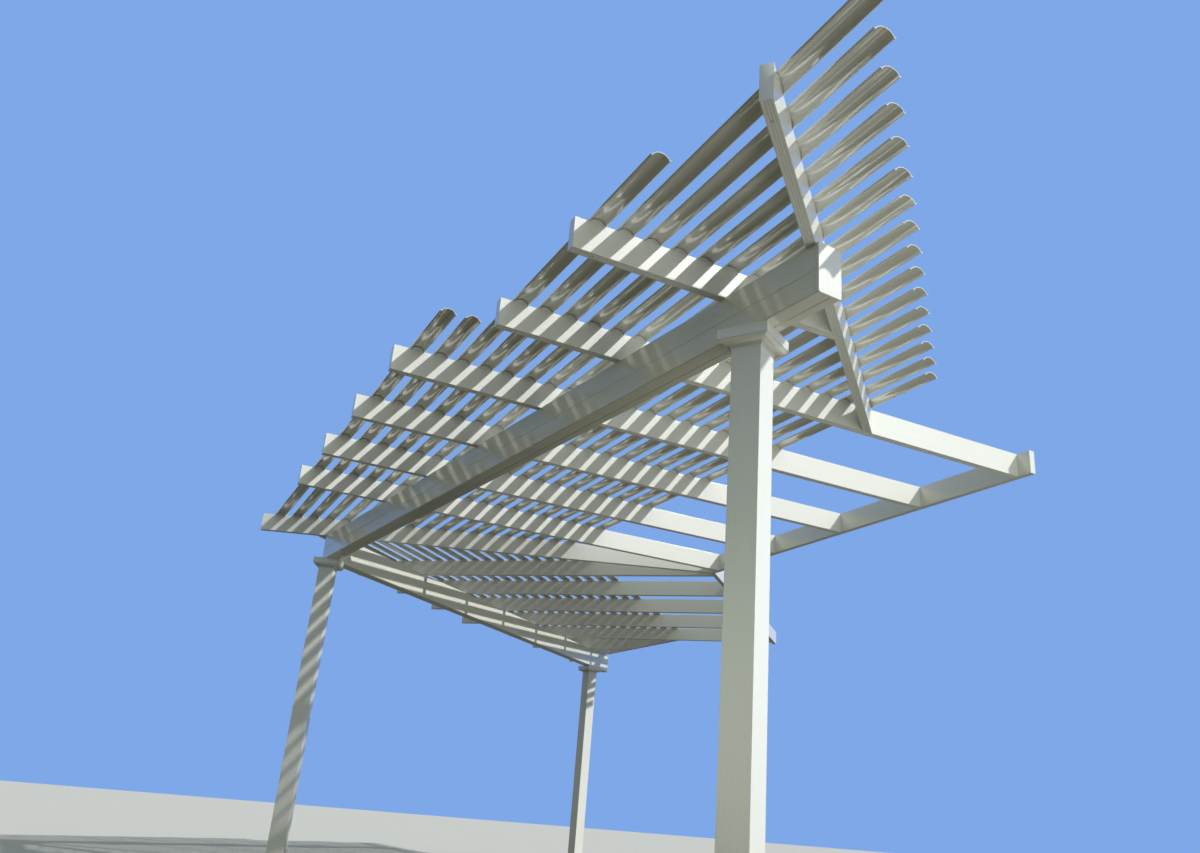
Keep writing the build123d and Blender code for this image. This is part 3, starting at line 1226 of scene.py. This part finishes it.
@dataclass
class RafterSet(SubAssembly):
    """Rafters of both wings, the slanted rafters over the beams' ends and the hip."""

    reeding: Reeding = Reeding()
    groove_count: int = 3
    groove_width: float = 0.004
    groove_depth: float = 0.0015
    groove_spacing: float = 0.010
    groove_ease: float = 0.0004
    cap_thickness: float = 0.003
    cap_margin: float = 0.001
    cap_bevel: float = 0.0009
    cap_gap: float = 0.0006
    plug_inset: float = 0.0016
    plug_depth: float = 0.004

    def build(self) -> None:
        """Build every rafter and the caps on their outer ends."""
        plan = self.plan
        shop = self.workshop
        rafters = {}
        caps = Draft()
        for number in range(plan.rafter_count):
            rafters["rafter_{}_%d" % (number + 1)] = self.rafter(number)
            self.add_cap(caps, Vector((plan.rafter_x(number), plan.rafter_y(number), 0.0)), 90.0)
        self.add_cap(caps, plan.end_rafter_start, plan.end_rafter_angle)
        rafters["end_rafter_{}"] = self.end_rafter()
        for node, draft in rafters.items():
            shop.place_in_wings(draft, node + "_reeded", RAFTER_VINYL, "rafter_white", node)
        node = "rafter_caps_{}"
        shop.place_in_wings(caps, node + "_moulded", CAP_VINYL, "cap_white", node)
        shop.place(self.hip(), "hip_rafter_reeded", RAFTER_VINYL, "rafter_white", "hip_rafter")
        hip_end = plan_direction(plan.hip_angle) * -plan.hip_overhang
        hip_cap = self.add_cap(Draft(), hip_end, plan.hip_angle)
        shop.place(hip_cap, "hip_cap_moulded", CAP_VINYL, "cap_white", "hip_cap")

    def section(self) -> list[Point]:
        """Section of a rafter, with reeded sides and grooves along its underside.

        Returns:
            Counter-clockwise outline, with its origin under the centre line.
        """
        depth = self.plan.rafter_depth
        half = self.plan.rafter_width / 2
        reach = self.groove_width / 2
        outline: list[Point] = [(-half, 0.0)]
        for number in range(self.groove_count):
            middle = (number - (self.groove_count - 1) / 2) * self.groove_spacing
            outline += [
                (middle - reach, 0.0),
                (middle - reach + self.groove_ease, self.groove_depth),
                (middle, self.groove_depth),
                (middle + reach - self.groove_ease, self.groove_depth),
                (middle + reach, 0.0),
            ]
        outline += self.reeding.face((half, 0.0), (half, depth))
        outline.append((0.0, depth))
        outline += self.reeding.face((-half, depth), (-half, 0.0))[:-1]
        return rounded(outline, self.plan.edge_radius)

    def rafter(self, number: int) -> Draft:
        """Rafter from its outer end to the ledger, or to the slanted rafter.

        Args:
            number: Place of the rafter, counted from the hip.

        Returns:
            The rafter.
        """
        plan = self.plan
        start = Vector((plan.rafter_x(number), plan.rafter_y(number), plan.beam_top))
        stop = plan.wall_stop
        if number == plan.rafter_count - 1:
            beyond = plan.end_rafter_normal
            stop = EndPlane(plan.end_rafter_start - beyond * plan.rafter_width / 2, beyond)
        return Draft().add_run(self.section(), start, 90.0, 0.0, [stop])

    def end_rafter(self) -> Draft:
        """Slanted rafter from over the beam's free end to the side of the last long rafter.

        Returns:
            The rafter.
        """
        plan = self.plan
        stop = EndPlane(Vector((plan.landing_x, 0.0, 0.0)), Vector((-1.0, 0.0, 0.0)))
        start = at_height(plan.end_rafter_start, plan.beam_top)
        return Draft().add_run(self.section(), start, plan.end_rafter_angle, 0.0, [stop])

    def hip(self) -> Draft:
        """Hip rafter, notched over the corner of the ledgers.

        Returns:
            The rafter, whose far end folds along its centre line.
        """
        plan = self.plan
        section = self.section()
        middle = [index for index, (left, _) in enumerate(section) if abs(left) < AXIS_PLAY]
        wall = plan.wall_stop
        mirrored = wall.normal - plan.hip_normal * (2 * wall.normal.dot(plan.hip_normal))
        stops = [wall, EndPlane(mirrored * plan.ledger_face, mirrored)]
        start = Vector((0.0, 0.0, plan.beam_top))
        split = (middle[0], middle[-1])
        return Draft().add_run(section, start, plan.hip_angle, -plan.hip_overhang, stops, split)

    def plate_outline(self, inset: float) -> list[Point]:
        """Outline of a cap's plate.

        Args:
            inset: How far it is drawn in all round.

        Returns:
            The outline, with rounded corners.
        """
        half = self.plan.rafter_width / 2 + self.cap_margin - inset
        low, high = inset - self.cap_margin, self.plan.rafter_depth - inset
        corners = [(-half, low), (half, low), (half, high), (-half, high)]
        return rounded(corners, 2 * self.cap_margin)

    def add_cap(self, draft: Draft, end: Vector, angle: float) -> Draft:
        """Add the plate and plug that close a rafter's outer end.

        Args:
            draft: Draft that takes the cap.
            end: Outer end of the rafter.
            angle: Plan angle of the rafter, from its outer end.

        Returns:
            The draft.
        """
        ease = self.cap_bevel / 3
        plate = (
            (-self.cap_thickness, self.cap_bevel),
            (ease - self.cap_thickness, ease),
            (self.cap_bevel - self.cap_thickness, 0.0),
            (-self.cap_gap, 0.0),
        )
        plug = ((-2 * self.cap_gap, self.plug_inset), (self.plug_depth, self.plug_inset))
        for steps in (plate, plug):
            draft.add_steps(at_height(end, self.plan.beam_top), angle, steps, self.plate_outline)
        return draft


# Ledgers

@dataclass
class LedgerSet(SubAssembly):
    """Board on each wall, mitred at the corner of the house."""

    end_margin: float = 0.090

    def build(self) -> None:
        """Build both ledgers."""
        plan = self.plan
        thick, deep = plan.ledger_thickness, plan.rafter_depth
        outline = rounded([(0.0, 0.0), (thick, 0.0), (thick, deep), (0.0, deep)], plan.edge_radius)
        hip = plan.hip_stop(plan.mitre_gap)
        start = Vector((0.0, plan.ledger_face, plan.beam_top))
        draft = Draft().add_run(outline, start, 0.0, hip, plan.landing_x + self.end_margin)
        name, node = "ledger_{}_board", "ledger_{}"
        self.workshop.place_in_wings(draft, name, LEDGER_VINYL, "ledger_white", node)


# Slats

@dataclass
class SlatSet(SubAssembly):
    """Thin arched slats across the rafters, mitred over the hip."""

    width: float = 0.086
    pitch: float = 0.128
    rise: float = 0.0245
    gauge: float = 0.0022
    foot: float = 0.002
    lip_run: float = 0.006
    lip_rise: float = 0.004
    bend_radius: float = 0.0016
    least_bend: float = 15.0
    bend_steps: int = 4
    edge_round: float = 0.4         # radius of the sheet's edges, as a share of the gauge
    edge_steps: int = 3
    arch_steps: int = 28
    rows: int = 19
    rows_per_panel: int = 4
    outer_row_inset: float = 0.123
    tail: float = 0.530
    end_tail: float = 0.337
    mitre_gap: float = 0.002
    station_length: float = 0.150
    ripple: float = 0.0003
    ripple_scale: Point = (1.5, 20.0)
    drift_scale: float = 1.3
    drift_line: float = 5.0         # line of the noise on which the drift lies
    trim_play: float = 0.004
    phases: float = 50.0
    seed: int = 11

    @property
    def arch_half(self) -> float:
        """Half the width of the arch, between the slat's feet."""
        return self.width / 2 - self.lip_run - self.foot / 2

    def build(self) -> None:
        """Build every panel of rows in both wings."""
        section = self.section()
        draws = random.Random(self.seed)
        for panel, first in enumerate(range(0, self.rows, self.rows_per_panel)):
            draft = Draft()
            for row in range(first, min(first + self.rows_per_panel, self.rows)):
                self.add_slat(draft, section, row, draws)
            node = "slats_{}_%d" % (panel + 1)
            self.workshop.place_in_wings(draft, node + "_arched", SLAT_VINYL, "slat_white", node)

    def section(self) -> list[Point]:
        """Section of a slat: a thin arch on two feet, with a lip turned up beyond each foot.

        Returns:
            Counter-clockwise outline of the bent sheet, with rounded edges.
        """
        half_gauge = self.gauge / 2
        edge = self.width / 2
        foot = self.arch_half
        middle = [
            (edge, self.lip_rise + half_gauge),
            (foot + self.foot / 2, half_gauge),
            *arc_points(
                (foot, half_gauge), (-foot, half_gauge), self.rise - self.gauge, self.arch_steps,
            ),
            (-foot - self.foot / 2, half_gauge),
            (-edge, self.lip_rise + half_gauge),
        ]
        bends = {"closed": False, "least_turn": self.least_bend, "steps": self.bend_steps}
        middle = rounded(middle, self.bend_radius, **bends)
        outer, inner = [], []
        for index, place in enumerate(middle):
            before = Vector(middle[max(index - 1, 0)])
            after = Vector(middle[min(index + 1, len(middle) - 1)])
            way = (after - before).normalized()
            side = Vector((way.y, -way.x)) * half_gauge
            outer.append(tuple(Vector(place) + side))
            inner.append(tuple(Vector(place) - side))
        sheet = outer + inner[::-1]
        return rounded(sheet, self.edge_round * self.gauge, steps=self.edge_steps)

    def row_y(self, row: int) -> float:
        """Centre line of a row, counted from the outer ends of the rafters."""
        return self.outer_row_inset - self.plan.long_overhang + row * self.pitch

    def row_end(self, row: int) -> float:
        """Free end of a row, beyond the last rafter that carries it.

        Args:
            row: Row, counted from the outer ends of the rafters.

        Returns:
            Its distance from the corner post along wing A.
        """
        plan = self.plan
        y = self.row_y(row)
        if y < plan.rafter_y(plan.rafter_count - 1):
            return plan.rafter_x(plan.rafter_count - plan.short_rafters - 1) + self.tail
        if y < plan.end_rafter_start.y:
            return plan.rafter_x(plan.rafter_count - 1) + self.tail
        slant = plan_direction(plan.end_rafter_angle)
        start = plan.end_rafter_start
        carried_at = start.x + (y - start.y) * slant.x / slant.y
        return carried_at + (plan.rafter_width / 2 + self.end_tail) / slant.y

    def add_slat(
        self, draft: Draft, section: Sequence[Point], row: int, draws: random.Random,
    ) -> None:
        """Add one slat, from its mitre over the hip to its free end.

        Args:
            draft: Draft of the panel.
            section: Outline of the slat.
            row: Row, counted from the outer ends of the rafters.
            draws: Gives how much shorter it is cut, and where its ripples start.
        """
        lean = math.radians(self.plan.hip_angle)
        y = self.row_y(row)
        end = self.row_end(row) - draws.uniform(0.0, self.trim_play)
        phase = draws.uniform(0.0, self.phases)
        stations = max(2, round((end - y / math.tan(lean)) / self.station_length))
        rings: list[list[Vector]] = [[] for _ in range(stations + 1)]
        for left, up in section:
            begin = (y + left) / math.tan(lean) + self.mitre_gap / 2 / math.sin(lean)
            for number, ring in enumerate(rings):
                x = begin + (end - begin) * number / stations
                spot = Vector((x * self.ripple_scale[0], left * self.ripple_scale[1], phase))
                lift = self.ripple * up / self.rise * (noise.noise(spot) - 1.0)
                spot = Vector((x * self.drift_scale, self.drift_line, phase))
                drift = self.ripple * noise.noise(spot)
                ring.append(Vector((x, y + left + drift, self.plan.rafter_top + up + lift)))
        draft.add_loft(rings)


# Saddles

@dataclass
class SaddleSet(SubAssembly):
    """Arched saddles on all rafters, which fill the slats' arches there."""

    slats: SlatSet
    clearance: float = 0.0012
    crown_gap: float = 0.0030
    face_inset: float = 0.0004
    seat_height: float = 0.0001
    end_margin: float = 0.045
    arc_steps: int = 20

    def build(self) -> None:
        """Build the saddles of both wings."""
        outline = self.outline()
        draft = Draft()
        for row in range(self.slats.rows):
            y = self.slats.row_y(row)
            start = Vector((0.0, y, self.plan.rafter_top + self.seat_height))
            for near, far in self.seats(y):
                draft.add_run(outline, start, 0.0, near, [far])
        self.workshop.place_in_wings(draft, "slat_saddles_{}", RAFTER_VINYL, "rafter_white")

    def outline(self) -> list[Point]:
        """Section of a saddle, clear of the underside of a slat and most so at its crown.

        Returns:
            The arc, whose chord is the saddle's seat.
        """
        gauge = self.slats.gauge
        bulge = self.slats.rise - gauge
        radius = arc_radius(self.slats.arch_half, bulge)
        centre = gauge / 2 + bulge - radius
        inner = radius - gauge / 2 - self.clearance
        reach = math.sqrt(inner ** 2 - centre ** 2)
        crown = centre + inner - self.crown_gap
        return arc_points((reach, 0.0), (-reach, 0.0), crown, self.arc_steps)

    def seats(self, y: float) -> list[tuple[EndPlane, EndPlane]]:
        """Find where a row is carried.

        Args:
            y: Centre line of the row.

        Returns:
            For each saddle the planes of its two faces.
        """
        plan = self.plan
        half = plan.rafter_width / 2 - self.face_inset
        beyond = plan.end_rafter_normal
        slant = plan.end_rafter_start
        carried_at = slant.x - (y - slant.y) * beyond.y / beyond.x
        near_side = carried_at - plan.rafter_width / 2 / beyond.x
        carriers = []
        for number in range(plan.rafter_count):
            x = plan.rafter_x(number)
            is_last = number == plan.rafter_count - 1
            is_short_of = y < plan.rafter_y(number) + self.end_margin
            if not (is_short_of or (is_last and near_side < x + self.end_margin)):
                carriers.append((Vector((x, 0.0, 0.0)), Vector((1.0, 0.0, 0.0))))
        if y > slant.y + self.end_margin and near_side > plan.landing_x:
            carriers.append((slant, beyond))
        return [(plan.hip_stop(self.face_inset), plan.hip_stop(half))] + [
            (EndPlane(middle - normal * half, normal), EndPlane(middle + normal * half, normal))
            for middle, normal in carriers
        ]


# Fasteners

@dataclass
class FastenerSet(SubAssembly):
    """Pan-head screws at the beam's caps and under the rafters."""

    head_radius: float = 0.0045
    head_height: float = 0.0026
    # For each ring its share of the radius, and its height and recess as shares of the height.
    head_profile: tuple[Triple, ...] = (
        (1.0, 0.3, 0.0),
        (0.88, 0.75, 0.0),
        (0.62, 0.95, 0.0),
        (0.50, 1.0, 0.0),
        (0.42, 1.0, 0.45),
        (0.16, 0.6, 0.15),
    )
    head_sink: float = 0.0001
    shank_share: float = 0.5
    shank_depth: float = 0.002
    sides: int = 16
    cap_set_back: float = 0.0135
    cap_heights: tuple[float, float] = (0.017, 0.193)
    rafter_set_back: float = 0.100

    def build(self) -> None:
        """Build the screws of each wing and of the hip."""
        plan = self.plan
        wing = Draft()
        way = plan_direction(plan.beam_angle)
        across = UP.cross(way)
        set_in = way * (plan.beam_reach - self.cap_set_back)
        for side in (-1, 1):
            for height in self.cap_heights:
                face = set_in + across * side * plan.beam_width / 2
                self.add_screw(wing, at_height(face, plan.beam_bottom + height), across * side)
        slant = plan_direction(plan.end_rafter_angle)
        length = (plan.landing_x - plan.end_rafter_start.x) / slant.x
        undersides = [
            Vector((plan.rafter_x(number), plan.rafter_y(number) + self.rafter_set_back, 0.0))
            for number in range(plan.rafter_count)
        ]
        for along in (self.rafter_set_back, length - self.rafter_set_back / 2):
            undersides.append(plan.end_rafter_start + slant * along)
        for place in undersides:
            self.add_screw(wing, at_height(place, plan.beam_top), -UP)
        self.workshop.place_in_wings(wing, "screws_{}", FASTENER_STEEL, "cap_white")
        hip_place = plan_direction(plan.hip_angle) * (self.rafter_set_back - plan.hip_overhang)
        hip = self.add_screw(Draft(), at_height(hip_place, plan.beam_top), -UP)
        self.workshop.place(hip, "hip_screw", FASTENER_STEEL, "cap_white")

    def add_screw(self, draft: Draft, place: Vector, outward: Vector) -> Draft:
        """Add one pan head with a cross recess.

        Args:
            draft: Draft that takes the screw.
            place: Where the head meets the surface.
            outward: Direction that the head faces.

        Returns:
            The draft.
        """
        profile = [
            (self.shank_share, -self.shank_depth, 0.0),
            (self.shank_share, -self.head_sink, 0.0),
            (1.0, -self.head_sink, 0.0),
        ]
        for share, height, recess in self.head_profile:
            profile.append((share, height * self.head_height, recess * self.head_height))
        return draft.add_turned(place, outward, profile, self.head_radius, self.sides)


# Studio

@dataclass(frozen=True)
class Sun:
    """Distant lamp."""

    name: str
    source: Triple      # direction that the light comes from
    strength: float     # on a surface that faces it
    spread: float       # angle that the source fills, which softens the shadows
    color: Color


@dataclass(frozen=True)
class Card:
    """Soft square lamp that stands for a pale surface beside the part and isn't seen itself."""

    name: str
    place: Triple
    aim: Triple
    size: float
    power: float
    spread: float
    color: Color = (0.98, 1.0, 0.93)


@dataclass
class Studio:
    """Camera at the photograph's viewing angle, plain floor and soft light."""

    camera_place: Triple = (8.5384, -1.5756, 0.570)
    camera_right: Triple = (0.45112, 0.88894, 0.07901)
    camera_up: Triple = (0.29400, -0.23162, 0.92729)
    sensor_width: float = 36.0
    focal_share: float = 999.0 / 1200.0       # focal length over the sensor's width
    view_depth: float = 200.0
    suns: tuple[Sun, ...] = (
        Sun("key", (0.84, 0.74, 1.0), 3.3, 1.5, (1.0, 0.98, 0.935)),
        Sun("fill", (1.0, 0.25, 0.40), 0.46, 70.0, (0.86, 0.95, 1.0)),
    )
    cards: tuple[Card, ...] = (
        Card("side_card", (8.6, 2.8, 0.25), (5.6, 1.8, 2.7), 3.5, 5.0, 74.0),
        Card("wall_card", (12.0, 2.6, 1.0), (4.0, 1.2, 3.6), 2.4, 11.0, 90.0),
        Card("tail_card", (7.0, 1.9, 0.10), (6.2, 1.5, 2.7), 2.0, 17.0, 130.0),
        Card("rear_card", (4.3, 5.3, 0.10), (4.4, 5.1, 2.7), 2.8, 14.0, 180.0),
        Card("front_card", (6.35, -0.9, 0.1), (5.55, 0.45, 0.8), 1.2, 2.1, 64.0, (0.95, 1.0, 0.76)),
    )
    sky_strength: float = 0.32
    sky_light: Color = (0.92, 1.0, 0.78)
    background: Color = (0.21, 0.39, 0.80)
    floor_half: float = 60.0
    floor_drop: float = 0.0005

    def build(self) -> None:
        """Build the camera, the lights, the floor and the world."""
        self.add_camera()
        for sun in self.suns:
            settings = {"energy": sun.strength, "angle": math.radians(sun.spread)}
            self.add_lamp(sun.name, "SUN", Vector(sun.source), settings, sun.color)
        for card in self.cards:
            back = Vector(card.place) - Vector(card.aim)
            spread = math.radians(card.spread)
            settings = {"energy": card.power, "size": card.size, "spread": spread}
            lamp = self.add_lamp(card.name, "AREA", back, settings, card.color)
            lamp.location = card.place
            lamp.visible_camera = False
        self.add_floor()
        self.add_world()
        bpy.context.scene.view_settings.view_transform = "Standard"

    def add_camera(self) -> None:
        """Camera fitted to the photograph."""
        data = bpy.data.cameras.new("camera")
        data.sensor_fit = "HORIZONTAL"
        data.sensor_width = self.sensor_width
        data.lens = self.sensor_width * self.focal_share
        data.clip_end = self.view_depth
        camera = bpy.data.objects.new("camera", data)
        right = Vector(self.camera_right).normalized()
        back = right.cross(Vector(self.camera_up)).normalized()
        up = back.cross(right)
        turn = Matrix((right, up, back)).transposed().to_4x4()
        camera.matrix_world = Matrix.Translation(Vector(self.camera_place)) @ turn
        into_scene(camera)
        bpy.context.scene.camera = camera

    @staticmethod
    def add_lamp(
        name: str, kind: str, back: Vector, settings: dict[str, float], color: Color,
    ) -> bpy.types.Object:
        """Add a lamp.

        Args:
            name: Name of the lamp.
            kind: Its type.
            back: Direction from what it lights to the lamp.
            settings: Its strength and sizes.
            color: Colour of its light.

        Returns:
            The lamp, at the origin.
        """
        data = bpy.data.lights.new(name, kind)
        data.color = color
        for setting, value in settings.items():
            setattr(data, setting, value)
        lamp = bpy.data.objects.new(name, data)
        lamp.rotation_mode = "QUATERNION"
        lamp.rotation_quaternion = back.to_track_quat("Z", "Y")
        into_scene(lamp)
        return lamp

    def add_floor(self) -> None:
        """Plain floor under the posts."""
        half = self.floor_half
        corners = [(-half, -half, 0), (half, -half, 0), (half, half, 0), (-half, half, 0)]
        mesh = bpy.data.meshes.new("floor")
        mesh.from_pydata(corners, [], [(0, 1, 2, 3)])
        mesh.materials.append(PlainFloorFinish("pale_floor").material())
        floor = bpy.data.objects.new("floor", mesh)
        floor.location.z = -self.floor_drop
        into_scene(floor)

    def add_world(self) -> None:
        """Soft light from all round, behind a plain pale background."""
        world = bpy.data.worlds.new("studio")
        bpy.context.scene.world = world
        graph = Graph(world)
        seen, glossy, through = (
            graph.add("ShaderNodeLightPath", {}, {}, f"Is {ray} Ray")
            for ray in ("Camera", "Glossy", "Transmission")
        )
        light, backdrop = (
            graph.add("ShaderNodeBackground", {}, {"Color": color, "Strength": strength})
            for color, strength in ((self.sky_light, self.sky_strength), (self.background, 1.0))
        )
        share = seen + glossy + through
        shown = graph.add("ShaderNodeMixShader", {}, {0: share, 1: light, 2: backdrop})
        graph.add("ShaderNodeOutputWorld", {}, {"Surface": shown})


def main() -> None:
    """Build the pergola's looks round the frame."""
    logging.basicConfig(level=logging.INFO, format="%(name)s: %(message)s")
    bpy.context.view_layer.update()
    workshop = Workshop(Plan())
    Studio().build()
    PostSet(workshop).build()
    BeamSet(workshop).build()
    RafterSet(workshop).build()
    LedgerSet(workshop).build()
    slats = SlatSet(workshop)
    slats.build()
    SaddleSet(workshop, slats).build()
    FastenerSet(workshop).build()


if __name__ == "__main__":
    main()
